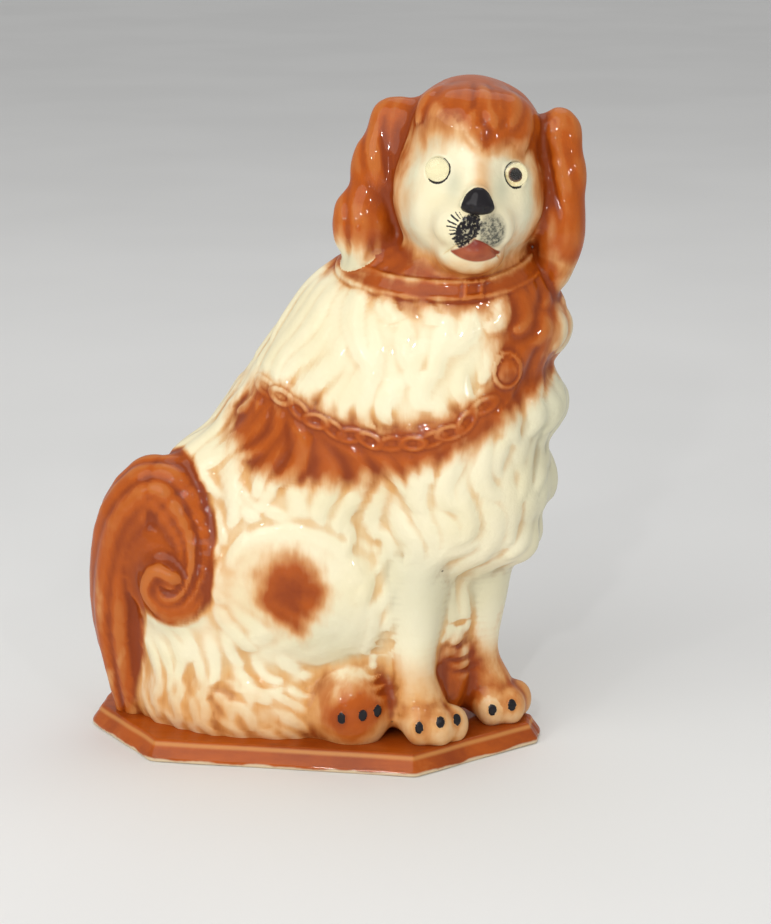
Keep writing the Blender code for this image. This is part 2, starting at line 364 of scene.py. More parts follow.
def skinned(field, low, high, cell):
    """Points and quads of the surface where the field is 0, one point in each cell that it crosses."""
    low = np.array(low, float)
    cells = (np.ceil((high - low) / (cell * COARSE)) * COARSE).astype(int)
    value = sampled(field, low, cells, cell)
    crossed = crossed_cells(value < 0, cells)
    number = np.full(cells, -1, np.int32)
    number[tuple(crossed.T)] = np.arange(len(crossed))
    points = low + cell * (crossed + crossing_middles(value, crossed))
    return settle(field, points), surface_quads(value < 0, cells, number)


def mesh_of(name, points, faces):
    """A mesh in metres from points in millimetres and quads."""
    mesh = bpy.data.meshes.new(name)
    mesh.vertices.add(len(points))
    mesh.vertices.foreach_set("co", (points * MM).ravel())
    mesh.loops.add(faces.size)
    mesh.loops.foreach_set("vertex_index", faces.ravel())
    mesh.polygons.add(len(faces))
    mesh.polygons.foreach_set("loop_start", np.arange(0, faces.size, faces.shape[1]))
    mesh.update(calc_edges=True)
    mesh.shade_smooth()
    return mesh


def points_of(mesh):
    out = np.empty(len(mesh.vertices) * 3)
    mesh.vertices.foreach_get("co", out)
    return out.reshape(-1, 3) / MM


def normals_of(mesh):
    out = np.empty(len(mesh.vertices) * 3)
    mesh.vertex_normals.foreach_get("vector", out)
    return out.reshape(-1, 3)


def set_points(mesh, points):
    mesh.vertices.foreach_set("co", (points * MM).ravel())
    mesh.update()


def paint(mesh, name, values):
    layer = mesh.attributes.new(name, "FLOAT", "POINT")
    layer.data.foreach_set("value", np.asarray(values, np.float32))


def refine(mesh, wanted):
    """Splits the faces whose corners are all wanted into four, and puts the new points on the clay."""
    bm = bmesh.new()
    bm.from_mesh(mesh)
    old = len(bm.verts)
    flags = wanted(points_of(mesh))
    bm.verts.ensure_lookup_table()
    edges = [e for e in bm.edges if flags[e.verts[0].index] and flags[e.verts[1].index]]
    bmesh.ops.subdivide_edges(bm, edges=edges, cuts=1, use_grid_fill=True)
    bm.to_mesh(mesh)
    bm.free()
    points = points_of(mesh)
    if len(points) > old:
        points[old:] = settle(clay, points[old:])
    set_points(mesh, points)
    mesh.shade_smooth()


def rubbed(values, mesh, rounds):
    """Values averaged with their neighbours along the mesh's edges, again and again."""
    edges = np.empty(len(mesh.edges) * 2, np.int32)
    mesh.edges.foreach_get("vertices", edges)
    a, b = edges.reshape(-1, 2).T
    count = len(mesh.vertices)
    degree = np.maximum(np.bincount(a, minlength=count) + np.bincount(b, minlength=count), 1)
    flat = values.reshape(count, -1).copy()
    for _ in range(rounds):
        for column in range(flat.shape[1]):
            v = flat[:, column]
            near = np.bincount(a, v[b], count) + np.bincount(b, v[a], count)
            flat[:, column] = (v + near / degree) / 2
    return flat.reshape(values.shape)


# ---------------------------------------------------------------- the coat

# Which way the coat is combed: x, z, and the direction as dx, dz. The same on both flanks.
COMBING = np.array((
    (50, 232, -0.3, -1), (20, 215, -0.6, -0.8), (85, 225, 0.0, -1), (115, 215, 0.25, -1),
    (0, 190, -0.5, -0.85), (40, 185, -0.15, -1), (80, 180, 0.15, -1), (118, 180, 0.0, -1),
    (-25, 160, -0.3, -0.95), (10, 150, 0.25, -1), (50, 145, 0.35, -0.95), (90, 145, 0.1, -1),
    (115, 140, -0.3, -1), (-45, 130, 0.1, -1), (0, 128, 0.4, -0.9), (40, 115, 0.4, -0.9),
    (80, 108, -0.6, -0.8), (100, 100, -0.7, -0.7), (-60, 100, 0.1, -1), (-50, 60, 0.35, -0.95),
    (-60, 25, 0.6, -0.8), (-30, 25, 0.9, -0.5), (10, 25, 0.9, -0.45), (45, 90, 0.1, -1),
    (50, 60, -0.3, -1),
), float)
CHAIN = (  # x and z
    (-30, 186), (-8, 180), (8, 172), (25, 166), (45, 163), (62, 165), (77, 171), (88, 180), (97, 190),
)
LOCKET = (99, 197)  # x and z
COLLAR_LOW, COLLAR_RISE, COLLAR_HALF_WIDTH = 247.0, 0.3, 3.6

tail = field_of(TAIL)
tail_mass = field_of(TAIL_FILL + TAIL)
tail_paint = field_of(TAIL_FILL[:1] + TAIL)
ears = field_of(EARS)
head = field_of(HEAD)
haunches = field_of(HAUNCHES)
legs = field_of(LEG_RIGHT + LEG_LEFT)
trunk = field_of(BODY)


def on_head(points):
    return (points - HEAD_CENTRE) @ HEAD_AXES.T


def face_radius(points):
    """1 on the hairline that frames the bare face, less inside it."""
    x, y, z = on_head(points).T
    top = 23 + 0.1 * np.abs(x) - 0.1 * x - 8 * bell(x - 1, 9)
    top += 3 * bell(x + 16, 9) - 4 * bell(x - 17, 10)
    height = np.where(z > -11, (z + 11) / (top + 11), (z + 11) / 33.5)
    width = (x + 2) / 34
    return (np.abs(width) ** 2.6 + np.abs(height) ** 2.6) ** (1 / 2.6) + step(-14, -6, y)


def face_amount(points):
    """1 on the bare face, 0 in the hair."""
    return step(1.08, 0.90, face_radius(points))


def along_tail(points):
    """Each point's place along the tail, 0 to 1, and its turn about the tail's middle line."""
    path = smooth_path(TAIL_PATH, 360)[:, :3]
    nearest = ((points[:, None] - path[None]) ** 2).sum(2).argmin(1)
    tangent = np.gradient(path, axis=0)
    side = np.cross(tangent, (0, 1, 0))
    side /= np.linalg.norm(side, axis=1)[:, None]
    off = points - path[nearest]
    return nearest / (len(path) - 1), np.arctan2((off * side[nearest]).sum(1), -off[:, 1])


def furrows(phase, sharpness=3):
    """0 on ridges, 1 in the narrow furrows between them, one furrow in each turn of phase."""
    return (0.5 + 0.5 * np.cos(phase)) ** sharpness


def tail_relief(points):
    """Long parallel strands that follow the tail into its curl."""
    relief = np.zeros(len(points))
    near = np.flatnonzero(tail(points) < 4)
    s, turn = along_tail(points[near])
    cut = furrows(9 * turn + 18 * s, 2) * (0.7 + 0.3 * np.sin(13 * s + 2 * turn)) * step(0.85, 0.62, s)
    broad = furrows(4 * turn + 8 * s, 2)
    relief[near] = -(1.7 * cut + 1.2 * broad) * step(4, 0.5, tail(points[near]))
    return relief


def ear_relief(points):
    """Long soft folds down the ears."""
    x, y, z = points.T
    phase = 2 * pi * (x + 5 * np.sin(z / 15) - 0.25 * y) / 12
    return -1.2 * furrows(phase, 2) * (0.6 + 0.4 * np.sin(z / 11 + x / 6)) * step(3, 0.5, ears(points))


def combed(points):
    """The combing direction at each point, not yet laid along the surface."""
    spread = ((points[:, None, ::2] - COMBING[None, :, :2]) ** 2).sum(2)
    weight = 1 / (spread + 60) ** 1.5
    lean = weight @ COMBING[:, 2:] / weight.sum(1)[:, None]
    x, y, z = points.T
    wave = 0.55 * np.sin(z / 8.5 + 1.2 * np.sin(x / 19) + 0.5 * np.sin(y / 14)) * step(36, 60, z)
    angle = np.arctan2(lean[:, 1], lean[:, 0]) + wave
    way = np.stack((np.cos(angle), 0 * angle, np.sin(angle)), 1)
    xh, yh, zh = on_head(points).T
    crown = np.stack((xh, yh - 8, np.full_like(zh, -14)), 1) @ HEAD_AXES
    on_crown = step(250, 262, z)[:, None]
    return way * (1 - on_crown) + crown / np.linalg.norm(crown, axis=1)[:, None] * on_crown


def coat_kind(points):
    """The locks' length, half width and height at each point, and how far apart they stand."""
    x, z = points[:, 0], points[:, 2]
    kind = np.empty((len(points), 4))
    kind[:] = (42, 7.0, 2.3, 9.6)
    kind[(z > 172) & (x < 45)] = (62, 6.6, 2.2, 9.6)
    kind[(z > 168) & (x >= 45)] = (28, 5.8, 1.8, 8.2)
    kind[(z < 152) & (x < 35)] = (27, 4.8, 1.8, 7.0)
    kind[z < 42] = (24, 3.8, 1.7, 5.4)
    kind[(head(points) < 3) & (z > 255)] = (30, 7.5, 1.8, 10.5)
    return kind


def bare_haunch(points):
    """1 inside each haunch, with a ragged edge that the coat hangs over."""
    x, y, z = points.T
    turn = np.arctan2(z - 83, x + 3)
    ragged = 0.07 * np.sin(3 * turn + 0.6) + 0.05 * np.sin(7 * turn + 2) + 0.04 * np.sin(12 * turn)
    ragged += 0.2 * step(-0.2, -0.9, np.sin(turn + 0.75))
    near = step(1.16, 0.86, np.hypot((x + 3) / 38, (z - 83) / 37) + ragged) * step(-22, -34, y)
    return near + step(1.16, 0.86, np.hypot((x + 3) / 42, (z - 80) / 38) + ragged) * step(22, 32, y)


def bare_amount(points):
    """1 where the clay has no locks: face, ears, tail, haunches, legs and hind paws."""
    x, y, z = points.T
    haunch = bare_haunch(points)
    leg = step(4, -0.5, legs(points)) * step(112, 80, z)
    paw = step(1.2, 1.0, np.hypot((x - 26) / 20, (z - 22) / 24)) * (y < -20)
    bare = haunch + leg + paw + face_amount(points)
    bare += step(4, 1, tail_paint(points)) + step(4, 1, ears(points))
    return np.clip(bare, 0, 1)


ALONG_OVER_ACROSS = 3.0  # locks stand this much farther apart along the combing than across it


def seeded(points, ways, rng, kind):
    """The numbers of points that stand apart from each other by the kind's spacing."""
    chosen = np.empty(len(points), int)
    count = 0
    for i in rng.permutation(len(points)):
        off = points[chosen[:count]] - points[i]
        along = off @ ways[i]
        gap = (off * off).sum(1) - along**2 * (1 - 1 / ALONG_OVER_ACROSS**2)
        if count == 0 or gap.min() > kind[i, 3] ** 2:
            chosen[count] = i
            count += 1
    return chosen[:count]


LOCK_STEPS = 14


def laid(ways, normals):
    """Directions pressed flat onto the surface."""
    ways = ways - (ways * normals).sum(1)[:, None] * normals
    return ways / np.maximum(np.linalg.norm(ways, axis=1), 1e-6)[:, None]


def traced(starts, kind, rng):
    """Each lock's line on the surface, along the combing and hooked at its tip."""
    count = len(starts)
    side = np.sin(starts[:, 0] / 23 + starts[:, 2] / 37) + 0.35 * rng.normal(size=count)
    hook = (1.1 + 0.6 * (kind[:, 0] < 32)) * np.tanh(3 * side)
    stray = rng.normal(0, 0.12, count)
    points, lines = starts.copy(), [starts.copy()]
    for k in range(LOCK_STEPS):
        s = k / LOCK_STEPS
        normal = slope(clay, points, 1.0)
        way = laid(combed(points), normal)
        angle = (stray + hook * s**3)[:, None]
        way = way * np.cos(angle) + np.cross(normal, way) * np.sin(angle)
        points = settle(clay, points + way * kind[:, :1] / LOCK_STEPS, 1)
        lines.append(points.copy())
    return np.stack(lines, 1)


def lock_lift(s, aside, side, half_width):
    """A lock's height, as a part of 1, at s along it and aside from its line: steep on one edge."""
    tip = np.sqrt(np.clip(1 - ((s - 0.55) / 0.45).clip(0) ** 2, 0.01, 1))
    width = half_width * np.minimum(1, 0.45 + 1.8 * s) * tip
    u = np.clip(aside / width, 0, 1) * np.sign(side)
    dome = (1 - u * u) * (1 + 0.45 * u)
    return dome * np.minimum(1, 0.2 + 2.2 * s) * (0.75 + 0.25 * s)


BIN = 10.0  # the side of the bins that points are sorted into


def binned(points):
    """The numbers of the points in each cube of space."""
    keys = (points // BIN).astype(int)
    order = np.lexsort(keys.T)
    split = np.flatnonzero(np.any(np.diff(keys[order], axis=0), axis=1)) + 1
    return {tuple(keys[group[0]]): group for group in np.split(order, split)}


def bins_round(bins, line, reach):
    """The bins that hold points within reach of the line."""
    low = ((line.min(0) - reach) // BIN).astype(int)
    top = ((line.max(0) + reach) // BIN).astype(int)
    spans = [range(low[i], top[i] + 1) for i in range(3)]
    return [bins[(i, j, k)] for i in spans[0] for j in spans[1] for k in spans[2] if (i, j, k) in bins]


def pressed_height(points, normals, lines, kind, outwards):
    """How far the locks stand out at each point. The highest lock wins."""
    height = np.zeros(len(points))
    bins = binned(points)
    for line, (_, half_width, high, _), out in zip(lines, kind, outwards):
        near = bins_round(bins, line, half_width)
        if not near:
            continue
        near = np.concatenate(near)
        a, along = line[:-1], np.diff(line, axis=0)
        off = points[near][:, None] - a
        t = np.clip(np.einsum("nij,ij->ni", off, along) / (along * along).sum(1), 0, 1)
        off -= t[..., None] * along
        gap = (off * off).sum(2)
        best = gap.argmin(1)
        rows = np.arange(len(near))
        side = np.einsum("ij,ij->i", off[rows, best], np.cross(normals[near], along[best]))
        s = (best + t[rows, best]) / len(a)
        lift = high * lock_lift(s, np.sqrt(gap[rows, best]), side, half_width)
        height[near] = np.maximum(height[near], lift * (normals[near] @ out > 0))
    return height


LOCK_SEED, LOCK_TRIES = 11, 9000
COAT_SINK = 0.9  # how far the coat's hollows lie below the plain skin


def coat(mesh, points, normals, base_points, base_normals):
    """The relief of the coat at each point of the finished skin."""
    rng = np.random.default_rng(LOCK_SEED)
    hairy = np.flatnonzero((bare_amount(base_points) < 0.4) & (base_points[:, 2] > 12))
    pick = rng.permutation(hairy)[:LOCK_TRIES]
    starts, out = base_points[pick], base_normals[pick]
    kind = coat_kind(starts) * rng.uniform(0.85, 1.2, (len(starts), 1))
    chosen = seeded(starts, laid(combed(starts), out), rng, kind)
    lines = traced(starts[chosen], kind[chosen], rng)
    height = pressed_height(points, normals, lines, kind[chosen], out[chosen])
    return (rubbed(height, mesh, 4) - COAT_SINK) * (1 - bare_amount(points))


# ---------------------------------------------------------------- stamps on the skin

LINK_SPACING = 9.6


def ring_height(u, v, long_half, short_half, wire):
    """A raised oval ring."""
    rho = np.hypot(u / long_half, v / short_half)
    off = np.abs(rho - 1) * min(long_half, short_half) / wire
    return np.clip(1 - off**2, 0, 1)


def chain_links():
    """The links' middles, angles and heights in the XZ plane, a little uneven as modelled by hand."""
    path = smooth_path(CHAIN, 400)
    run = np.concatenate(([0], np.cumsum(np.linalg.norm(np.diff(path, axis=0), axis=1))))
    for n, s in enumerate(np.arange(4, run[-1] - 3, LINK_SPACING)):
        i = np.searchsorted(run, s + 0.9 * sin(5.1 * n))
        dx, dz = path[min(i + 3, len(path) - 1)] - path[max(i - 3, 0)]
        angle = atan2(dz, dx) + radians(12) * (-1) ** n + 0.12 * sin(2.3 * n)
        yield path[i], angle, 1.0 + 0.25 * sin(3.7 * n)


def chain_distance(points):
    """Distance to the chain's line in the XZ plane."""
    path = smooth_path(CHAIN, 60)
    return np.sqrt(((points[:, None, ::2] - path[None]) ** 2).sum(2)).min(1)


def chain_relief(points):
    x, z = points[:, 0], points[:, 2]
    height = np.zeros(len(points))
    for (cx, cz), turn, high in chain_links():
        near = np.flatnonzero(np.hypot(x - cx, z - cz) < 9)
        high *= step(-26, -8, cx)
        dx, dz = x[near] - cx, z[near] - cz
        u, v = dx * cos(turn) + dz * sin(turn), -dx * sin(turn) + dz * cos(turn)
        height[near] = np.maximum(height[near], 0.65 * high * ring_height(u, v, 5.4, 2.9, 1.4))
    x, z = x - LOCKET[0], z - LOCKET[1]
    height = np.maximum(height, 1.2 * np.clip(1 - np.hypot(x / 4.6, z / 7.2) ** 4, 0, 1))
    return np.maximum(height, 0.9 * ring_height(x, z, 5.2, 7.8, 1.2))


def collar_offset(points):
    """Height above the collar's middle line, which dips under the chin."""
    return points[:, 2] - COLLAR_LOW - COLLAR_RISE * points[:, 1]


def collar_amount(points):
    on_neck = step(1.0, 3.5, ears(points)) * step(8, 4, np.minimum(trunk(points), head(points)))
    band = np.abs(collar_offset(points)) / COLLAR_HALF_WIDTH
    return step(1.3, 0.9, band) * on_neck


BUCKLE_X = 83


def collar_relief(points):
    """A strap with a bead along each edge, and a square buckle under the chin."""
    off = collar_offset(points) / COLLAR_HALF_WIDTH
    x, y = points[:, 0], points[:, 1]
    bead = bell(np.abs(off) - 0.8, 0.26) * (0.8 + 0.3 * np.sin(x / 3.3))
    buckle = np.maximum(np.abs(x - BUCKLE_X) / 5, np.abs(off) / 1.2)
    buckle_height = 0.8 * step(1.05, 0.75, buckle) - 0.5 * step(0.62, 0.40, buckle)
    return collar_amount(points) * (0.5 + 0.5 * bead) + buckle_height * (y < -20)


def haunch_relief(points):
    """The soft fold that frames each haunch, and the dabs of the modelling tool inside it."""
    x, y, z = points.T
    oval = np.hypot((x + 3) / 38.5, (z - 82.5) / 37.5)
    dabs = np.sin(x / 2.9 + 2 * np.sin(z / 6)) * np.sin(z / 3.4 + x / 11)
    dabs *= step(1, 0.7, oval) * step(100, 60, z)
    edge = (0.1 + 0.5 * step(60, 100, z)) * (bell(oval - 0.92, 0.09) - bell(oval - 1.05, 0.07))
    return (edge + 0.3 * dabs) * (np.abs(y) > 24) * step(1, 4, tail_mass(points))


def surface_at(x, z, side):
    """The point of the skin at x, z on that side, found by walking in from outside."""
    y = np.linspace(70 * side, 0, 281)
    line = np.stack((np.full_like(y, x), y, np.full_like(y, z)), 1)
    inside = np.flatnonzero(clay(line) < 0)
    return line[inside[0]]


NEAR_CLAWS = (  # x and z, each foreleg's and then the hind paw's
    (59.5, 20.5), (69.5, 23), (76.5, 22), (91.3, 19.5), (100.5, 21), (22.5, 25), (32.5, 26.5), (39, 27.5),
)
FAR_CLAWS = ((96, 20), (87, 21), (22, 22), (32, 22))
CLAWS = [surface_at(x, z, -1) for x, z in NEAR_CLAWS] + [surface_at(x, z, 1) for x, z in FAR_CLAWS]


def claw_amount(points):
    amount = np.zeros(len(points))
    for claw in CLAWS:
        near = np.flatnonzero(((points - claw) ** 2).sum(1) < 64)
        dx, dy, dz = (points[near] - claw).T
        oval = np.sqrt((dx / 2.1) ** 2 + (dy / 3) ** 2 + (dz / 3.0) ** 2)
        amount[near] = np.maximum(amount[near], step(1.1, 0.85, oval))
    return amount


LEG_NOTCHES = ((41, 58), (38, 54), (37, 44), (39, 40), (42, 35), (75, 65), (75, 53), (76, 45), (77, 39))


def notch_relief(points):
    """Short curved cuts between the forelegs."""
    x, y, z = points.T
    cut = np.zeros(len(points))
    for cx, cz in LEG_NOTCHES:
        cut += bell(z - cz - 0.06 * (x - cx) ** 2, 1.6) * bell(x - cx, 4.5)
    return -1.2 * cut * (y < -8)


def eye_distance(points):
    """Distance from the nearer eye's middle."""
    return np.min([np.linalg.norm(points - eye, axis=1) for eye in (EYE_RIGHT, EYE_LEFT)], axis=0)


def face_relief(points):
    """Lips, the split of the muzzle, nostrils and the lids' rims."""
    x, y, z = on_head(points).T
    front = step(-30, -36, y)
    split = 1.1 * bell(x, 1.1) * step(-28, -24, z) * step(-12, -15, z)
    lip = bell(z + 25.5 + 0.045 * x * x, 0.9) * step(14, 11, np.abs(x))
    tongue = 1.9 * bell(x - 1, 7) * bell(z + 30.5, 2.8)
    nostril = 1.2 * bell(np.abs(x) - 3.6, 1.3) * bell(z + 9.5, 1.5) * step(-50, -52, y)
    rim = 0.25 * bell(eye_distance(points) - 6.6, 0.8) * step(-26, -30, y)
    parted = np.abs(x - 0.5) * 1.1 + 0.5 * (z - 30) + 1.6 * np.sin(z / 4 + x / 9)
    waves = 0.5 * furrows(2 * pi * parted / 9, 2) * step(22, 29, z) * (0.6 + 0.4 * np.sin(x / 5 + 1))
    curls = 0.4 * bell(np.abs(x - 0.5) - 5, 2.6) * bell(z - 30.5 + 0.6 * (np.abs(x) - 5), 2.2)
    return (tongue - split - lip) * front - nostril + rim + (curls - waves) * step(-8, -20, y)


# ---------------------------------------------------------------- paint, painted shade and highlight

RUST_BAND = (
    (-22, 164, 13), (-14, 163, 18), (0, 160, 18), (22, 157, 15), (43, 158, 12), (62, 162, 9), (79, 170, 8),
    (95, 180, 8), (104, 191, 10), (109, 206, 12), (111, 220, 12), (110, 236, 14),
)


def stroke_depth(points, stroke):
    """How deep each point lies inside a painted stroke seen from the side, in millimetres."""
    path = smooth_path(stroke, 80)
    away = np.sqrt(((points[:, None, ::2] - path[None, :, :2]) ** 2).sum(2))
    return (path[None, :, 2] - away).max(1)


def haze(points, x, z, x_reach, z_reach):
    """1 at x, z on the right flank, fading out around it."""
    return bell(points[:, 0] - x, x_reach) * bell(points[:, 2] - z, z_reach) * (points[:, 1] < 0)


SPOT = (-2, 88)  # the middle of the rust spot on each haunch, x and z


def spot_distance(points):
    """Distance from the rust spot's middle, a little uneven and longer below it."""
    x, z = points[:, 0] - SPOT[0], points[:, 2] - SPOT[1]
    turn = np.arctan2(z, x)
    uneven = 1.2 * np.cos(5 * turn + 1) + 0.8 * np.cos(9 * turn)
    return np.hypot(x, z * np.where(z < 0, 0.8, 1.05)) - uneven


PAINT_FADE = 26.0  # millimetres from no rust at all to full rust
NO_PAINT = -20.0


def tail_depth(points):
    """How deep each point lies in the tail's rust, less in stripes at its root and in paler stripes along
    its outer edge, which are a painted highlight.
    """
    x, y, z = points.T
    streaks_and_highlights = 0.5 + 0.5 * np.sin(x / 1.9 + y / 2.6 + 1.5 * np.sin(z / 13))
    # the paler stripes along the outer edge are a painted highlight; those at the root are paint
    streaks_and_highlights *= np.maximum(step(75, 15, z), 0.7 * step(-86, -104, x))
    return np.minimum((3.5 - tail_paint(points)) * 4, 13) - 13 * streaks_and_highlights


def hair_depth(points):
    """How deep each point lies in the rust of the head's hair and ears."""
    x, z = points[:, 0], points[:, 2]
    hair = np.minimum((face_radius(points) - 0.98) * 34, (z - 238) * 1.5)
    ear_fade = np.where(x < 75, z - 251, z - 243)
    return np.where(ears(points) < 2.5, np.minimum(hair, ear_fade), hair)


def low_depths(points):
    """How deep each point lies in the rust of the paws, between the forelegs and along the bottom."""
    x, y, z = points.T
    ankles = -1.5 - np.abs(z - 29) * 0.35 + 5 * (y > LEGS_APART_Y)
    low_coat = -2.0 - 0.25 * np.abs(z - 12)
    web = 15 - np.hypot(x - 69, (z - 32) / 1.7)
    web -= 0.15 * np.maximum(y + 10, 0) + 2 * np.maximum(-25 - y, 0)
    hind = 16 - np.hypot(x - 28, z - 27) - 2 * np.maximum(y + 30, 0)
    return np.where(legs(points) < 2, ankles, NO_PAINT), low_coat, web, hind


def rust_amount(points):
    """0 where bare, 0.5 at the painted edge, 1 well inside."""
    band = stroke_depth(points, RUST_BAND)
    spot = np.where(haunches(points) < 6, 15.5 - spot_distance(points), NO_PAINT)
    fringe = 8.0 - 1.6 * np.abs(collar_offset(points) + 0.5) - 6 * step(52, 25, points[:, 0])
    fringe = np.where((ears(points) < 3) & (points[:, 2] < 247), NO_PAINT, fringe)
    depths = band, spot, hair_depth(points), fringe, tail_depth(points), *low_depths(points)
    return np.clip(0.5 + np.max(depths, axis=0) / PAINT_FADE, 0, 1)


def tan_amount(points):
    """Ochre wash: nose bridge, chin, the coat's lower fringe, the paws and round the rust patches."""
    z = points[:, 2]
    xh, yh, zh = on_head(points).T
    bridge = bell(xh - 1.5, 5) * step(-8, -2, zh) * step(24, 12, zh) * (yh < -10) * 0.75
    chin = bell(zh + 42, 8) * (yh < -20) * 0.9
    rim = bell(face_radius(points) - 0.93, 0.12) * 0.5 * step(236, 244, z)
    low = step(56, 16, z) * 0.95
    paws = np.where(legs(points) < 2, step(76, 28, z) * 0.95, 0)
    flank = 0.5 * haze(points, -40, 95, 16, 42) + 0.4 * haze(points, -12, 88, 28, 32)
    flank += 0.4 * haze(points, 45, 140, 16, 9) + 0.35 * haze(points, -5, 140, 40, 16)
    return np.clip(np.max((bridge, chin, low, rim, paws, flank), axis=0), 0, 1)


def dash_amount(x, y, z):
    """Short brush dashes that fan out from the right side of the muzzle."""
    angle, away = np.arctan2(z + 19.5, -(x + 3)), np.hypot(x + 3, z + 19.5)
    ray = np.abs((angle / 0.23 + 0.15 * np.sin(7 * angle)) % 1 - 0.5) * 0.23 * away
    reach = 9.8 + 0.9 * np.sin(23 * angle)
    dashes = step(0.62, 0.2, ray) * step(5.4, 6.6, away) * step(reach + 0.5, reach - 0.5, away)
    return dashes * (x < -5) * step(-0.75, -0.6, angle) * step(1.1, 0.95, angle) * step(-28, -34, y)


def ink_amount(points):
    """Black: nose, claws, muzzle patch and its dashes, and a dark ring at each eye socket's edge for dirt
    and painted shade of the gap.
    """
    x, y, z = on_head(points).T
    broad = 8.6 - 0.42 * np.clip(z + 11, 0, 12)
    nose = np.abs(x / broad) ** 2.6 + np.abs((z + 6.2) / 5.9) ** 2.6
    nose = step(1.2, 1.0, nose) * step(-44, -45.5, y)
    lean = x + 3.6 - 0.3 * (z + 20)
    patch = step(1.25, 0.8, np.hypot(lean / 5.6, (z + 20) / 8.6)) * step(-30, -36, y)
    # a dark ring at each socket's edge: dirt round the glass eye, and painted shade of the gap round it
    rims = step(0.8, 0.25, np.abs(eye_distance(points) - 6.0)) * (y < -28)
    parts = nose, 0.69 * patch, 0.9 * dash_amount(x, y, z), 0.8 * rims, claw_amount(points)
    return np.clip(np.max(parts, axis=0), 0, 1)


def grey_amount(points):
    """The grey wash on the muzzle's left pad."""
    x, y, z = on_head(points).T
    pad = step(1.2, 0.7, np.hypot((x - 7.4) / 6.4, (z + 19.8) / 8.4))
    return pad * step(-30, -36, y)


def painted_shade_amount(points):
    """Painted shade in a cool green-grey: beside the nose, round the cheeks, under the tail's curl, below
    the haunch, on the legs, ear tips and breast's edge.
    """
    x, z = points[:, 0], points[:, 2]
    xh, yh, zh = on_head(points).T
    # each of these is painted shade, not a colour of the glaze itself
    beside_nose = 0.6 * bell(np.abs(xh - 0.5) - 11, 4) * bell(zh + 1, 7) * (yh < -28)
    cheeks = 0.55 * bell(face_radius(points) - 0.82, 0.10) * step(240, 246, z) * step(8, 16, np.abs(xh))
    leg = 0.4 * step(8, -1, legs(points)) * step(40, 88, z) * step(130, 90, z)
    edge = 0.5 * step(96, 122, x) * step(228, 205, z)
    # painted shadow under the tail's curl, and painted shade below the haunch and at the ears' tips
    under_curl = 0.6 * haze(points, -60, 72, 13, 7)
    haunch = 0.35 * haze(points, 16, 62, 24, 16)
    tips = 0.35 * step(4, 1, ears(points)) * step(252, 244, z)
    return np.max((beside_nose, cheeks, leg, edge, under_curl, haunch, tips), axis=0)


def mouth_amount(points):
    x, y, z = on_head(points).T
    top = -24.3 - 0.52 * np.abs(x - 2)
    low = -34.7 + 0.028 * (x - 1.5) ** 2
    inside = np.minimum(top - z, z - low)
    return step(-0.5, 0.5, inside) * step(12.5, 11.0, np.abs(x - 1)) * step(-26, -32, y)


PAINTS = {
    "rust": rust_amount, "tan": tan_amount, "ink": ink_amount, "grey": grey_amount,
    "mouth": mouth_amount, "shade": painted_shade_amount,
}


def pooled(mesh, rounds):
    """How sunken each point is against its neighbourhood: positive in hollows, negative on ridges."""
    points = points_of(mesh)
    return ((rubbed(points, mesh, rounds) - points) * normals_of(mesh)).sum(1)


def paint_skin(mesh, points):
    """Stores the paints, the painted shade among them, and where the glaze pools, as attributes. points
    are as before the relief.
    """
    for name, amount in PAINTS.items():
        paint(mesh, name, amount(points))
    pool = np.clip(pooled(mesh, 6) / 0.24, -1.5, 1.5) + 0.5 * np.clip(pooled(mesh, 28) / 0.8, -1, 1.5)
    pool += 0.9 * bell(spot_distance(points), 9) * (haunches(points) < 6)
    paint(mesh, "pool", pool)


# ---------------------------------------------------------------- materials


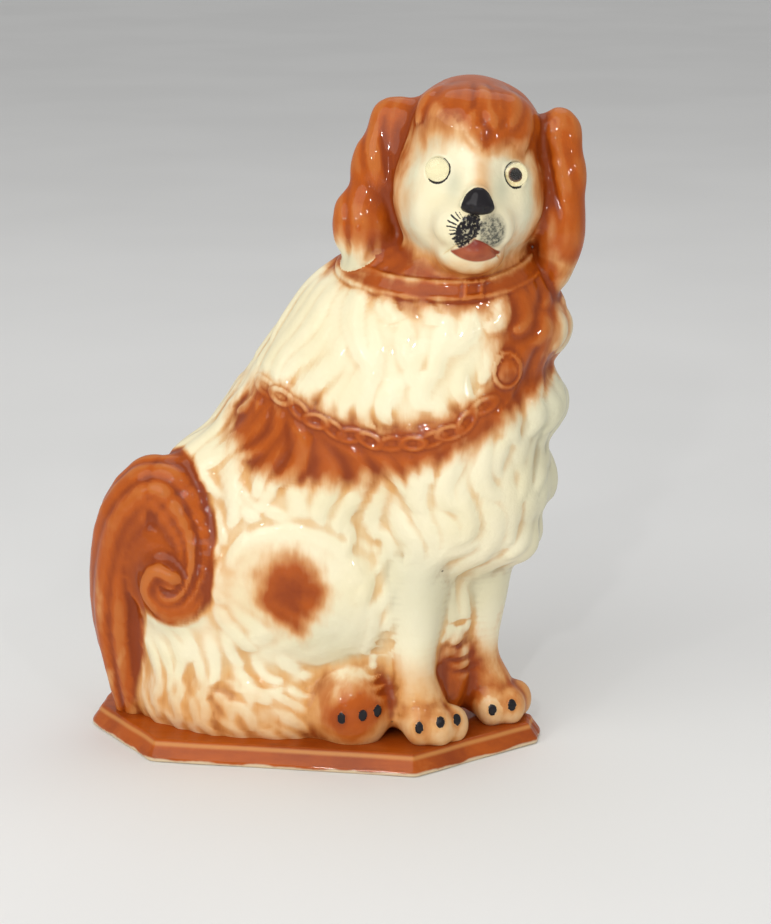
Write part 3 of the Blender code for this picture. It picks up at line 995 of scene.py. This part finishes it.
class Nodes:
    """Short calls for building a material's node tree."""

    def __init__(self, name):
        self.material = bpy.data.materials.new(name)
        self.material.use_nodes = True
        self.tree = self.material.node_tree
        self.shader = self.tree.nodes["Principled BSDF"]
        self.place = self.add("ShaderNodeTexCoord").outputs["Object"]

    def add(self, kind, inputs=(), **settings):
        node = self.tree.nodes.new(kind)
        for key, value in settings.items():
            setattr(node, key, value)
        for key, value in dict(inputs).items():
            self.link(value, node.inputs[key])
        return node

    def link(self, value, socket):
        if isinstance(value, bpy.types.NodeSocket):
            self.tree.links.new(value, socket)
        else:
            socket.default_value = value

    def attribute(self, name):
        return self.add("ShaderNodeAttribute", attribute_name=name).outputs["Fac"]

    def noise(self, scale, detail, roughness=0.5, stretch=(1, 1, 1)):
        mapping = self.add("ShaderNodeMapping", {"Vector": self.place, "Scale": stretch})
        values = {"Scale": scale, "Detail": detail, "Roughness": roughness}
        values["Vector"] = mapping.outputs["Vector"]
        return self.add("ShaderNodeTexNoise", values).outputs["Fac"]

    def ruffled(self, value, amount, *noise):
        """value plus noise that runs from -amount to amount."""
        return self.math("ADD", value, self.ramp(self.noise(*noise), 0.3, 0.7, -amount, amount))

    def mottled(self, a, b, *noise):
        """Clouds of two colours."""
        return self.mix(self.ramp(self.noise(*noise), 0.3, 0.7), a, b)

    def math(self, operation, a, b):
        return self.add("ShaderNodeMath", {0: a, 1: b}, operation=operation).outputs["Value"]

    def ramp(self, value, low, high, to_low=0.0, to_high=1.0):
        """value from low..high to to_low..to_high, smooth and clamped."""
        inputs = {"Value": value, "From Min": low, "From Max": high, "To Min": to_low, "To Max": to_high}
        node = self.add("ShaderNodeMapRange", inputs, interpolation_type="SMOOTHSTEP")
        return node.outputs["Result"]

    def mix(self, amount, a, b):
        node = self.add("ShaderNodeMix", data_type="RGBA")
        self.link(amount, node.inputs[0])
        self.link(colour(a), node.inputs[6])
        self.link(colour(b), node.inputs[7])
        return node.outputs[2]

    def bump(self, height, distance, strength):
        inputs = {"Height": height, "Distance": distance, "Strength": strength}
        self.link(self.add("ShaderNodeBump", inputs).outputs["Normal"], self.shader.inputs["Normal"])

    def surface(self, base, roughness, coat=0.0, specular=0.5):
        for key, value in (
            ("Base Color", colour(base)), ("Roughness", roughness), ("Coat Weight", coat),
            ("Coat Roughness", 0.05), ("Specular IOR Level", specular),
        ):
            self.link(value, self.shader.inputs[key])
        return self.material


def colour(value):
    return value if isinstance(value, bpy.types.NodeSocket) else (*value, 1.0)


CREAM = (0.87, 0.80, 0.57)
CREAM_SHADE = (0.82, 0.74, 0.49)
# the colour of painted shade on the cream
PAINTED_SHADE_GREEN = (0.50, 0.51, 0.37)
OCHRE = (0.66, 0.38, 0.12)
ORANGE = (0.435, 0.086, 0.005)
DEEP_RUST = (0.24, 0.038, 0.003)
PEACH = (0.68, 0.32, 0.09)
INK = (0.010, 0.008, 0.010)
MOUTH_RED = (0.24, 0.035, 0.016)
BARE_CLAY = (0.66, 0.52, 0.34)
# the colour of painted shade in grooves
PAINTED_GROOVE_SHADE = (0.34, 0.33, 0.22)
GREY_WASH = (0.075, 0.075, 0.06)
LIP_EDGE = (0.36, 0.09, 0.035)
SPECK = (0.05, 0.035, 0.025)
GLAZE_GLOSS = {"roughness": 0.6, "coat": 0.5, "specular": 0.05}


def rust_colour(n, pool):
    """Rust glaze: orange where it is thin on high places, brown where it has run into hollows."""
    cloud = n.noise(38, 4, 0.6)
    depth = n.math("ADD", pool, n.ramp(cloud, 0.3, 0.75, -0.5, 0.5))
    deep = n.mix(n.ramp(depth, -1.2, 1.4), ORANGE, DEEP_RUST)
    thin = n.ramp(n.math("ADD", pool, n.ramp(cloud, 0.35, 0.7, 0.2, -0.25)), -0.6, -1.5, 0.0, 0.2)
    return n.mix(thin, deep, PEACH)


def cream_colour(n, pool, rust):
    """Cream glaze: painted green-grey shade where the shade attribute is high, ochre in the hollows,
    painted grey shade in the hollows inside that painted shade, peach where it is washed with tan.
    """
    shade = n.attribute("shade")
    cream = n.mix(n.ramp(n.noise(24, 3), 0.35, 0.7), CREAM, CREAM_SHADE)
    # painted shade: the cream turns green-grey where the shade attribute is high
    cream = n.mix(shade, cream, PAINTED_SHADE_GREEN)
    stain = n.math("MULTIPLY", n.ramp(pool, -0.2, 1.5), n.ramp(rust, -0.1, 0.4, 0.3, 0.8))
    # hollows stain ochre; where the shade attribute is high they take a painted grey shade instead
    cream = n.mix(stain, cream, n.mix(n.ramp(shade, 0.05, 0.4), OCHRE, PAINTED_GROOVE_SHADE))
    wash = n.ruffled(n.attribute("tan"), 0.12, 60, 3)
    wash = n.math("ADD", wash, n.ramp(pool, -1.0, 1.0, -0.15, 0.2))
    return n.mix(n.ramp(wash, 0.1, 1.15, 0.0, 0.85), cream, PEACH)


def brushed(n, base):
    """The grey, black and red brushwork of the face and claws over the base."""
    grime = n.ramp(n.noise(520, 4, 0.7), 0.36, 0.62, 0.55, 1.0)
    base = n.mix(n.math("MULTIPLY", n.attribute("grey"), grime), base, GREY_WASH)
    base = n.mix(n.ramp(n.ruffled(n.attribute("ink"), 0.19, 700, 3), 0.36, 0.66), base, INK)
    return n.mix(n.attribute("mouth"), base, n.mottled(MOUTH_RED, LIP_EDGE, 90, 2))


def specked(n, base):
    """A few small dark specks in the glaze, over the base."""
    specks = n.add("ShaderNodeTexVoronoi", {"Vector": n.place, "Scale": 42.0})
    chance = n.add("ShaderNodeSeparateColor", {"Color": specks.outputs["Color"]}).outputs["Red"]
    dot = n.math("MULTIPLY", n.ramp(specks.outputs["Distance"], 0.035, 0.015), n.ramp(chance, 0.84, 0.86))
    return n.mix(n.math("MULTIPLY", dot, 0.75), base, SPECK)


def glazed_clay():
    """The painted skin of the dog, under one clear glaze."""
    n = Nodes("dog_glaze")
    pool = n.attribute("pool")
    feather = n.ruffled(n.ramp(n.noise(40, 2), 0.3, 0.7, -0.09, 0.09), 0.09, 120, 3, 0.5, (1, 1, 0.35))
    feather = n.math("ADD", feather, n.ramp(pool, -1.2, 1.4, -0.08, 0.13))
    rust = n.math("ADD", n.attribute("rust"), feather)
    base = n.mix(n.ramp(rust, 0.12, 0.55, 0.0, 0.9), cream_colour(n, pool, rust), PEACH)
    base = n.mix(n.ramp(rust, 0.30, 0.72), base, rust_colour(n, pool))
    base = specked(n, brushed(n, base))
    n.bump(n.math("ADD", n.noise(420, 2), n.math("MULTIPLY", n.noise(120, 2), 2.5)), 0.00035, 0.6)
    return n.surface(base, **GLAZE_GLOSS)


def glazed_plinth():
    """Rust glaze with brush streaks, wiped off along the bottom edge."""
    n = Nodes("plinth_glaze")
    height = n.add("ShaderNodeSeparateXYZ", {"Vector": n.place}).outputs["Z"]
    streak = n.noise(60, 4, 0.6, (0.25, 1, 1))
    pool = n.ramp(streak, 0.3, 0.7, -1.0, 0.35)
    wiped = n.ruffled(height, 0.0006, 70, 3)
    base = n.mix(n.ramp(wiped, 0.0008, 0.0020), BARE_CLAY, rust_colour(n, pool))
    edge = n.math("MULTIPLY", n.ramp(height, 0.0066, 0.0080), n.ramp(height, 0.0095, 0.0084))
    base = n.mix(n.math("MULTIPLY", edge, 0.55), base, PEACH)
    n.bump(n.math("ADD", n.noise(420, 2), n.math("MULTIPLY", streak, 3.0)), 0.00025, 0.5)
    return n.surface(base, **GLAZE_GLOSS)


def cement():
    n = Nodes("eye_cement_plaster")
    grain = n.noise(1500, 4, 0.6)
    base = n.mix(n.ramp(grain, 0.3, 0.7), (0.62, 0.57, 0.38), (0.56, 0.51, 0.33))
    n.bump(grain, 0.0002, 0.6)
    return n.surface(base, 0.75)


def eye_enamel(middle_point, axis):
    """A cream iris with a brown-black pupil, by distance from the eye's axis."""
    n = Nodes("eye_enamel")
    off = n.add("ShaderNodeVectorMath", {0: n.place, 1: tuple(middle_point * MM)}, operation="SUBTRACT")
    cross = n.add("ShaderNodeVectorMath", {0: off.outputs[0], 1: tuple(axis)}, operation="CROSS_PRODUCT")
    away = n.add("ShaderNodeVectorMath", {0: cross.outputs[0]}, operation="LENGTH").outputs["Value"]
    iris = n.mottled((0.70, 0.64, 0.44), (0.60, 0.48, 0.24), 900, 3)
    ring = n.mix(n.ramp(away, 0.0029, 0.0034), (0.08, 0.025, 0.008), iris)
    base = n.mix(n.ramp(away, 0.0022, 0.0028), (0.004, 0.003, 0.003), ring)
    base = n.mix(n.ramp(away, 0.0048, 0.0052), base, (0.02, 0.015, 0.01))
    return n.surface(base, 0.5, specular=0.1)


def eye_glass():
    """Clear glass that lets the lamps through to what is behind it."""
    n = Nodes("clear_eye_glass")
    n.bump(n.noise(260, 1), 0.0001, 0.3)
    n.shader.inputs["Transmission Weight"].default_value = 1.0
    n.shader.inputs["IOR"].default_value = 1.45
    n.surface((0.97, 0.96, 0.90), 0.0)
    shadow = n.add("ShaderNodeLightPath").outputs["Is Shadow Ray"]
    clear = n.add("ShaderNodeBsdfTransparent").outputs["BSDF"]
    mixed = n.add("ShaderNodeMixShader", {0: shadow, 1: n.shader.outputs["BSDF"], 2: clear})
    n.link(mixed.outputs["Shader"], n.tree.nodes["Material Output"].inputs["Surface"])
    return n.material


# ---------------------------------------------------------------- pieces

WALL = 5.0
INNER_CELL = 5.0


def piece(name, mesh, material, node):
    """An object that stands for a CAD node and rides on the row's one body."""
    mesh.name = name
    mesh.materials.append(material)
    obj = bpy.data.objects.new(name, mesh)
    bpy.context.scene.collection.objects.link(obj)
    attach(obj, "root")
    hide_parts(node)


def grid_box():
    """The CAD model's box in millimetres, from the floor up."""
    low, high = (np.array(c) / MM for c in cad_box)
    return low * (1, 1, 0), high


def whole_relief(mesh, points, coat_height):
    """How far each point of the skin moves out, with every kind of relief together."""
    chained = chain_area(points)
    relief = coat_height * (1 - 0.7 * step(9, 4, chain_distance(points)) * chained)
    relief *= 1 - collar_amount(points)
    relief += chain_relief(points) * chained + ear_relief(points) + haunch_relief(points)
    relief += rubbed(tail_relief(points), mesh, 2)
    relief += collar_relief(points) * (points[:, 2] < 262) + notch_relief(points)
    return relief + 0.5 * claw_amount(points) + face_relief(points) * (points[:, 2] > 240)


def chain_area(points):
    """Where the chain and locket are raised: on the trunk, not on ears or legs."""
    on_trunk = step(0, 3, ears(points)) * step(3, 1, trunk(points))
    return on_trunk * (points[:, 2] > 140) * (points[:, 2] < 212)


def by_face(points):
    return (face_amount(points) > 0.02) | (eye_distance(points) < 12)


def by_chain_or_collar(points):
    by_chain = (chain_distance(points) < 8) & (points[:, 1] < 70)
    return by_chain | (np.abs(collar_offset(points)) < 7)


def by_claw(points):
    return np.array([((points - claw) ** 2).sum(1) < 36 for claw in CLAWS]).any(0)


def by_eye_or_muzzle(points):
    x, y, z = on_head(points).T
    muzzle = (np.abs(x) < 17) & (z > -37) & (z < 2) & (y < -30)
    return (eye_distance(points) < 8.5) | muzzle


def dog_skin():
    """The whole outer skin with its coat, its relief and its paint, still in one piece."""
    low, high = grid_box()
    mesh = mesh_of("dog_skin", *skinned(clay, low - (9, 9, 0), high + 9, CELL))
    base_points, base_normals = points_of(mesh), normals_of(mesh)
    for wanted in (by_face, by_chain_or_collar, by_claw, by_eye_or_muzzle):
        refine(mesh, wanted)
    points, normals = points_of(mesh), normals_of(mesh)
    coat_height = coat(mesh, points, normals, base_points, base_normals)
    set_points(mesh, points + normals * whole_relief(mesh, points, coat_height)[:, None])
    paint_skin(mesh, points)
    skin_normal = mesh.attributes.new("skin_normal", "FLOAT_VECTOR", "POINT")
    skin_normal.data.foreach_set("vector", normals_of(mesh).ravel())
    return mesh


def bisected(bm, point, normal, keep_inner):
    geometry = bm.verts[:] + bm.edges[:] + bm.faces[:]
    bmesh.ops.bisect_plane(
        bm, geom=geometry, dist=1e-7, plane_co=point, plane_no=normal,
        clear_outer=keep_inner, clear_inner=not keep_inner,
    )


def capped(bm, flat_normal):
    """Closes every open edge with one flat face."""
    edges = [e for e in bm.edges if e.is_boundary]
    bmesh.ops.triangle_fill(bm, edges=edges, use_beauty=False, normal=flat_normal)


PLUG_DEPTH = 4.0


def plugged(bm, edges, point):
    """Closes a ragged opening: into the clay by PLUG_DEPTH from its rim, then with a cone to the point."""
    normal = bm.verts.layers.float_vector["skin_normal"]
    tip = bm.verts.new(Vector(point) * MM)
    inner = {}
    for vert in dict.fromkeys(v for e in edges for v in e.verts):
        inner[vert] = bm.verts.new(vert.co - vert[normal] * PLUG_DEPTH * MM)
    for edge in edges:
        a, b = edge.link_loops[0].vert, edge.link_loops[0].link_loop_next.vert
        bm.faces.new((b, a, inner[a], inner[b]))
        bm.faces.new((inner[b], inner[a], tip))


def finished(bm):
    """A mesh from bm whose shading follows the whole skin's normals, so that no seam shows."""
    mesh = bpy.data.meshes.new("shell")
    bm.to_mesh(mesh)
    bm.free()
    mesh.shade_smooth()
    wanted = np.empty(len(mesh.vertices) * 3)
    mesh.attributes["skin_normal"].data.foreach_get("vector", wanted)
    wanted = wanted.reshape(-1, 3)
    missing = np.linalg.norm(wanted, axis=1) < 0.5
    wanted[missing] = normals_of(mesh)[missing]
    mesh.attributes.remove(mesh.attributes["skin_normal"])
    mesh.normals_split_custom_set_from_vertices(wanted.tolist())
    return mesh


def leg_number(mesh):
    """For each face: 0 on the body, 1 on the right foreleg, 2 on the left one."""
    points = points_of(mesh)
    rest = np.minimum(np.minimum(trunk(points), haunches(points)), field_of(HIND_PAWS)(points))
    right, left = field_of(LEG_RIGHT)(points), field_of(LEG_LEFT)(points)
    owned = np.minimum(right, left) - rest + step(96, 108, points[:, 2]) * 20
    owned = rubbed(np.clip(owned, -6, 6), mesh, 12)
    corner = np.empty(len(mesh.loops), np.int32)
    mesh.loops.foreach_get("vertex_index", corner)
    first = np.empty(len(mesh.polygons), np.int32)
    mesh.polygons.foreach_get("loop_start", first)
    number = np.where(right < left, 1, 2)
    return np.where(np.maximum.reduceat(owned[corner], first) < 0, number[corner[first]], 0)


def cut_out(skin, wanted):
    """A bmesh of the faces of skin that are wanted."""
    bm = bmesh.new()
    bm.from_mesh(skin)
    bm.faces.ensure_lookup_table()
    bmesh.ops.delete(bm, geom=[bm.faces[i] for i in np.flatnonzero(~wanted)], context="FACES")
    return bm


def ragged_edges(bm, floor):
    return [e for e in bm.edges if e.is_boundary and max(v.co.z for v in e.verts) > floor + 1e-5]


STANDING = Vector((0, 0, (PLINTH_TOP + 0.1) * MM))
LEG_TIP_Z, BODY_TIP_Z = 82, 84  # how high the cones inside the joints of the forelegs reach


def cut_at_plinth(mesh):
    """Takes away what is below the plinth's top."""
    bm = bmesh.new()
    bm.from_mesh(mesh)
    bisected(bm, STANDING, (0, 0, 1), keep_inner=False)
    bm.to_mesh(mesh)
    bm.free()


def build_forelegs(skin, number, glaze):
    for n, node, (x, y) in ((1, "foreleg_right", LEG_AXES[0]), (2, "foreleg_left", LEG_AXES[1])):
        bm = cut_out(skin, number == n)
        plugged(bm, ragged_edges(bm, STANDING.z), (x, y, LEG_TIP_Z))
        capped(bm, (0, 0, -1))
        piece(node + "_glazed", finished(bm), glaze, node)


def lining():
    """The inside of the shell, facing into the hollow."""
    hollow = field_of(BODY + HEAD[:2])
    low, high = grid_box()
    points, quads = skinned(lambda p: hollow(p) + WALL, low - (5, 5, 0), high + 5, INNER_CELL)
    mesh = mesh_of("hollow", points, quads[:, ::-1])
    cut_at_plinth(mesh)
    return mesh


def build_halves(skin, number, glaze):
    """The body's shell, parted along its seam."""
    bm = cut_out(skin, number == 0)
    ragged = ragged_edges(bm, STANDING.z)
    for side, (x, y) in zip((-1, 1), LEG_AXES):
        own = [e for e in ragged if (e.verts[0].co.y / MM > LEGS_APART_Y) == (side > 0)]
        plugged(bm, own, (x, y, BODY_TIP_Z))
    bm.from_mesh(lining())
    capped(bm, (0, 0, -1))
    whole = bpy.data.meshes.new("shell")
    bm.to_mesh(whole)
    bm.free()
    for side, node in ((-1, "body_right_half"), (1, "body_left_half")):
        bm = bmesh.new()
        bm.from_mesh(whole)
        bisected(bm, Vector((0, PARTING_Y * MM, 0)), (0, 1, 0), keep_inner=side < 0)
        capped(bm, (0, -side, 0))
        piece(node + "_glazed", finished(bm), glaze, node)


def build_dog(glaze):
    skin = dog_skin()
    cut_at_plinth(skin)
    number = leg_number(skin)
    build_forelegs(skin, number, glaze)
    build_halves(skin, number, glaze)


REAR_CANT, FRONT_CANT, PLINTH_CORNER = (42.0, 46.0), (53.0, 54.0), 7.0
VENT_X, VENT_RADIUS = -34.0, 9.0
PLINTH_PROFILE = (  # how far each level is drawn in, and its height
    (1.2, 0.0), (0.4, 0.25), (0.0, 0.9), (0.05, 1.8), (0.5, 3.0), (1.6, 4.6), (3.0, 6.5), (4.0, 8.0),
    (4.5, 9.0), (5.2, 9.7), (6.2, 10.0), (7.4, 9.85), (9.0, 9.9), (12.0, 10.0),
)
PLINTH_STEPS = 24  # points along each side
ARC_STEPS = 6  # round each corner
VENT_STEPS = 48
WAVY_BELOW = 9.9  # levels from this height up don't waver


def plinth_outline(inset):
    """The canted outline drawn in by inset, with rounded corners."""
    length, width = PLINTH_HIGH[:2]
    (rx, ry), (fx, fy) = REAR_CANT, FRONT_CANT
    corner = [(length, fy - width), (length, width - fy), (length - fx, width), (rx - length, width)]
    corner += [(-length, width - ry), (-length, ry - width), (rx - length, -width), (length - fx, -width)]
    corner = np.array(corner)
    along = np.roll(corner, -1, 0) - corner
    normal = np.stack((along[:, 1], -along[:, 0]), 1) / np.linalg.norm(along, axis=1)[:, None]
    radius = max(PLINTH_CORNER - inset, 0.5)
    points = []
    for i in range(len(corner)):
        before, after = normal[i - 1], normal[i]
        bisector = (before + after) / np.linalg.norm(before + after)
        centre = corner[i] - bisector * (inset + radius) / (bisector @ after)
        start = atan2(before[1], before[0])
        turn = (atan2(after[1], after[0]) - start) % (2 * pi)
        turns = [start + turn * k / ARC_STEPS for k in range(ARC_STEPS + 1)]
        arc = [centre + radius * np.array((cos(t), sin(t))) for t in turns]
        if points:
            points += list(np.linspace(points[-1], arc[0], PLINTH_STEPS)[1:-1])
        points += arc
    points += list(np.linspace(points[-1], points[0], PLINTH_STEPS)[1:-1])
    return np.array(points)


def plinth_ring(inset, height):
    """One level of the slab's side as points of x and y, wavering a little as wiped by hand."""
    outline = plinth_outline(inset)
    if height <= 0:
        return outline
    run = np.arange(len(outline)) / len(outline) * 2 * pi
    waver = 0.22 * np.sin(9 * run + 1) + 0.16 * np.sin(23 * run) if height < WAVY_BELOW else 0 * run
    return outline + outline / np.linalg.norm(outline, axis=1)[:, None] * (waver - 0.4)[:, None]


def ring_of_verts(bm, places):
    return [bm.verts.new(Vector(place) * MM) for place in places]


def bridged(bm, lower, upper):
    """Quads between two rings of equal length."""
    for i in range(len(lower)):
        j = (i + 1) % len(lower)
        bm.faces.new((lower[i], lower[j], upper[j], upper[i]))


def circle(x, radius, height, count):
    turns = [2 * pi * k / count for k in range(count)]
    return [(x + radius * cos(t), radius * sin(t), height) for t in turns]


def build_plinth(glaze):
    """The slab and its vent hole."""
    bm = bmesh.new()
    rings = []
    for inset, height in PLINTH_PROFILE:
        rings.append(ring_of_verts(bm, [(x, y, height) for x, y in plinth_ring(inset, height)]))
    for lower, upper in zip(rings, rings[1:]):
        bridged(bm, lower, upper)
    vent = [ring_of_verts(bm, circle(VENT_X, VENT_RADIUS, z, VENT_STEPS)) for z in (0.0, PLINTH_TOP)]
    bridged(bm, vent[0][::-1], vent[1][::-1])
    for ring, hole, way in ((rings[0], vent[0], -1), (rings[-1], vent[1], 1)):
        edges = [e for e in bm.edges if e.is_boundary and set(e.verts) <= set(ring) | set(hole)]
        bmesh.ops.triangle_fill(bm, edges=edges, use_beauty=False, normal=(0, 0, way))
    bmesh.ops.recalc_face_normals(bm, faces=bm.faces)
    piece("plinth_glazed", hard_edged(bm, 40), glaze, "plinth")


def hard_edged(bm, angle):
    """A mesh from bm that is smooth but for edges sharper than the angle in degrees."""
    mesh = bpy.data.meshes.new("solid")
    bm.to_mesh(mesh)
    bm.free()
    mesh.shade_smooth()
    mesh.set_sharp_from_angle(angle=radians(angle))
    return mesh


def turned_mesh(profile, place, segments=64):
    """A solid of revolution from points (radius, height) in millimetres, closed at both ends."""
    bm = bmesh.new()
    rings = [ring_of_verts(bm, circle(0, radius, height, segments)) for radius, height in profile]
    for lower, upper in zip(rings, rings[1:]):
        bridged(bm, lower, upper)
    bm.faces.new(rings[0][::-1])
    bm.faces.new(rings[-1])
    bm.transform(place)
    return hard_edged(bm, 50)


EYE_RADIUS = 5.5
EYE_TURN = radians(10)  # how far each eye looks outwards
DOME_BASE, DOME_RISE = -0.7, 2.4
DOME_PROFILE = [(EYE_RADIUS * 0.98, -1.5), (EYE_RADIUS, -1.2), (EYE_RADIUS, DOME_BASE)] + [
    (EYE_RADIUS * cos(a), DOME_BASE + DOME_RISE * sin(a)) for a in np.linspace(0.1, pi / 2 - 0.03, 16)
]
ENAMEL_PROFILE = [(5.15, -2.15), (5.2, -2.0), (5.0, -1.85), (3.5, -1.8), (2.6, -1.75), (0.6, -1.72)]


def build_eye(side_name, side, centre, plaster, glass):
    """The glass dome, the plaster behind it and, where the paint is left, the enamel disc between."""
    forward = Vector(-HEAD_AXES[1]) @ Matrix.Rotation(-side * EYE_TURN, 3, "Z")
    turn = forward.to_track_quat("Z", "Y").to_matrix().to_4x4()
    place = Matrix.Translation(Vector(centre) * MM) @ turn
    node = "eye_glass_" + side_name
    piece(node + "_dome", turned_mesh(DOME_PROFILE, place), glass, node)
    cement_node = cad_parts["eye_cement_" + side_name]
    cement_node.data.materials.clear()
    cement_node.data.materials.append(plaster)
    node = "eye_paint_" + side_name
    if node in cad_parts:
        enamel = eye_enamel(centre, forward)
        piece(node + "_enamel", turned_mesh(ENAMEL_PROFILE, place), enamel, node)


# ---------------------------------------------------------------- camera, light and floor


AIM = Vector((0.0355, 0, 0.1393))  # metres, as are the lamps' places
AZIMUTH, ELEVATION = radians(9), radians(15)
CAMERA_DISTANCE, LENS, SENSOR = 1.2, 95.45, 36


def pointed_at_aim(name, data, place):
    """Puts a camera or lamp in the scene, facing AIM."""
    obj = bpy.data.objects.new(name, data)
    obj.location = place
    obj.rotation_euler = (AIM - Vector(place)).to_track_quat("-Z", "Y").to_euler()
    bpy.context.scene.collection.objects.link(obj)
    return obj


def area_light(name, place, size, power, tint):
    data = bpy.data.lights.new(name, "AREA")
    data.shape = "DISK"
    data.size, data.energy, data.color = size, power, tint
    pointed_at_aim(name, data, place)


def build_camera():
    data = bpy.data.cameras.new("camera")
    data.lens, data.sensor_width, data.clip_end = LENS, SENSOR, 20
    level = cos(ELEVATION)
    back = Vector((sin(AZIMUTH) * level, -cos(AZIMUTH) * level, sin(ELEVATION)))
    bpy.context.scene.camera = pointed_at_aim("camera", data, AIM + CAMERA_DISTANCE * back)


WARM, WHITE = (1, 0.98, 0.95), (1, 1, 1)
LAMPS = (  # name, place, size in metres, power in watts, tint
    ("key", (-0.8, -1.8, 1.55), 2.4, 24.5, WARM),
    ("top", (0.1, 0.7, 1.9), 1.6, 7, WHITE),
    ("glint", (0.05, -1.3, 0.78), 0.05, 2.6, WHITE),
    ("side_glint", (-0.6, -1.2, 0.5), 0.04, 1.3, WHITE),
    ("high_glint", (0.7, -1.2, 1.0), 0.05, 1.3, WHITE),
    ("ear_glint", (1.1, -1.0, 0.45), 0.04, 1.1, WHITE),
    ("low_glint", (-0.2, -1.4, 0.2), 0.04, 0.7, WHITE),
)


def build_studio():
    for lamp in LAMPS:
        area_light(*lamp)
    world = bpy.data.worlds.new("world")
    world.use_nodes = True
    sky = world.node_tree.nodes["Background"]
    sky.inputs["Color"].default_value = (0.87, 0.87, 0.87, 1)
    sky.inputs["Strength"].default_value = 0.58
    bpy.context.scene.world = world
    n = Nodes("studio_floor")
    bpy.ops.mesh.primitive_plane_add(size=60, location=(0, 0, -0.0002))
    floor = bpy.context.active_object
    floor.name = "floor"
    base = n.mottled((0.78, 0.78, 0.77), (0.81, 0.81, 0.80), 3, 2)
    floor.data.materials.append(n.surface(base, 0.7, specular=0.1))
    bpy.context.scene.view_settings.view_transform = "Standard"


build_camera()
build_studio()
build_dog(glazed_clay())
build_plinth(glazed_plinth())
eye_plaster, clear_glass = cement(), eye_glass()
build_eye("right", -1, EYE_RIGHT, eye_plaster, clear_glass)
build_eye("left", 1, EYE_LEFT, eye_plaster, clear_glass)
